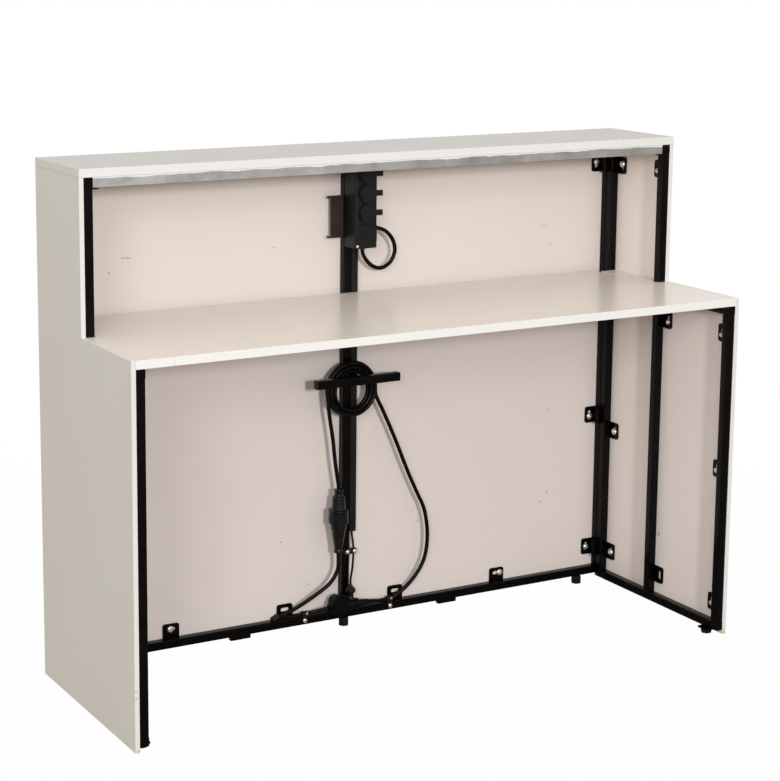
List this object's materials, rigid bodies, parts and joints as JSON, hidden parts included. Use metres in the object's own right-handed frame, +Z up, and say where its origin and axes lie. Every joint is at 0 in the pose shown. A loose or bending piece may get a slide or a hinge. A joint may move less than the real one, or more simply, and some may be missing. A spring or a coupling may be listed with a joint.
{
  "type": "folding portable bar",
  "caption": "Folding portable bar with beige laminate panels on a black tube frame, a raised shelf, an outlet and a coiled supply cord.",
  "frame": {"origin": "on the floor, under the middle of the bounding box", "axes": "+X to the operator's right along the counter, +Y towards the customer side, +Z up"},
  "size_m": [1.5, 0.498, 1.145],
  "materials": {
    "laminate": "satin beige melamine laminate",
    "frame_black": "satin black powder coat on steel tube",
    "aluminium": "mill finish",
    "bracket_brown": "satin dark brown",
    "black_plastic": "matt",
    "black_rubber": "matt"
  },
  "bodies": {
    "front_frame": {"front_panel": "laminate", "front_bottom_rail": "frame_black", "front_top_rail": "frame_black", "front_post_left": "frame_black", "front_post_right": "frame_black", "centre_post": "frame_black", "cable_trunking": "black_plastic", "cable_hook": "frame_black", "outlet_housing": "black_plastic", "outlet_bracket": "bracket_brown", "splitter_block": "black_rubber", "splitter_cap": "black_rubber", "small_plug": "black_rubber", "supply_plug": "black_rubber", "supply_connector": "black_rubber", "cord_coil": "black_rubber", "cord_left": "black_rubber", "cord_right": "black_rubber", "connector_lead": "black_rubber", "tail_cord": "black_rubber", "drop_lead": "black_rubber", "rail_lead": "black_rubber", "rail_boot": "black_rubber", "rail_clip_right": "black_plastic", "rail_clip_left": "black_plastic", "post_clip": "black_plastic"},
    "left_side": {"left_panel": "laminate", "left_post": "frame_black", "left_upright": "frame_black", "left_leg": "frame_black", "left_bottom_rail": "frame_black", "left_worktop_rail": "frame_black", "left_rear_rail": "frame_black", "left_top_rail": "frame_black", "left_fillet": "laminate"},
    "right_side": {"right_panel": "laminate", "right_post": "frame_black", "right_upright": "frame_black", "right_leg": "frame_black", "right_bottom_rail": "frame_black", "right_worktop_rail": "frame_black", "right_rear_rail": "frame_black", "right_top_rail": "frame_black", "right_fillet": "laminate"},
    "worktop_board": {"worktop": "laminate"},
    "shelf_board": {"shelf": "laminate", "shelf_angle": "aluminium"},
    "cap_upper": {"socket_cap_1": "black_plastic"},
    "cap_middle": {"socket_cap_2": "black_plastic"},
    "cap_lower": {"socket_cap_3": "black_plastic"},
    "foot_a": {"foot_front_left": "black_plastic"},
    "foot_b": {"foot_front_centre": "black_plastic"},
    "foot_c": {"foot_front_right": "black_plastic"},
    "foot_d": {"foot_near_left": "black_plastic"},
    "foot_e": {"foot_near_right": "black_plastic"}
  },
  "joints": [
    {"name": "left_side_fold", "type": "hinge", "parent": "front_frame", "child": "left_side", "pos_m": [-0.7127, 0.2184, 0.56], "axis": [0, 0, 1], "range_deg": [0, 90]},
    {"name": "right_side_fold", "type": "hinge", "parent": "front_frame", "child": "right_side", "pos_m": [0.7127, 0.2184, 0.56], "axis": [0, 0, -1], "range_deg": [0, 90]},
    {"name": "worktop_draw", "type": "slide", "parent": "front_frame", "child": "worktop_board", "axis": [0, -0.9255, 0.3786], "range_m": [0, 1.87]},
    {"name": "shelf_lift", "type": "slide", "parent": "front_frame", "child": "shelf_board", "axis": [0, 0, 1], "range_m": [0, 1.1]},
    {"name": "cap_upper_swing", "type": "hinge", "parent": "front_frame", "child": "cap_upper", "pos_m": [0.0465, 0.1612, 1.079], "axis": [0, 0, 1], "range_deg": [0, 110], "stiffness_Nm_per_rad": 0.02, "springref_deg": -22.92},
    {"name": "cap_middle_swing", "type": "hinge", "parent": "front_frame", "child": "cap_middle", "pos_m": [0.0465, 0.1612, 1.0345], "axis": [0, 0, 1], "range_deg": [0, 110], "stiffness_Nm_per_rad": 0.02, "springref_deg": -22.92},
    {"name": "cap_lower_swing", "type": "hinge", "parent": "front_frame", "child": "cap_lower", "pos_m": [0.0465, 0.1612, 0.99], "axis": [0, 0, 1], "range_deg": [0, 110], "stiffness_Nm_per_rad": 0.02, "springref_deg": -22.92},
    {"name": "foot_front_left_turn", "type": "hinge", "parent": "front_frame", "child": "foot_a", "pos_m": [-0.666, 0.2257, 0.01], "axis": [0, 0, 1], "continuous": true},
    {"name": "foot_front_centre_turn", "type": "hinge", "parent": "front_frame", "child": "foot_b", "pos_m": [-0.008, 0.2257, 0.01], "axis": [0, 0, 1], "continuous": true},
    {"name": "foot_front_right_turn", "type": "hinge", "parent": "front_frame", "child": "foot_c", "pos_m": [0.666, 0.2257, 0.01], "axis": [0, 0, 1], "continuous": true},
    {"name": "foot_near_left_turn", "type": "hinge", "parent": "left_side", "child": "foot_d", "pos_m": [-0.721, -0.214, 0.005], "axis": [0, 0, 1], "continuous": true},
    {"name": "foot_near_right_turn", "type": "hinge", "parent": "right_side", "child": "foot_e", "pos_m": [0.721, -0.214, 0.005], "axis": [0, 0, 1], "continuous": true}
  ],
  "couplings": [
    {"joint": "right_side_fold", "follows": "left_side_fold", "ratio": 1},
    {"joint": "worktop_draw", "follows": "left_side_fold", "m_per_rad": 1.1885},
    {"joint": "shelf_lift", "follows": "left_side_fold", "m_per_rad": 0.7}
  ]
}
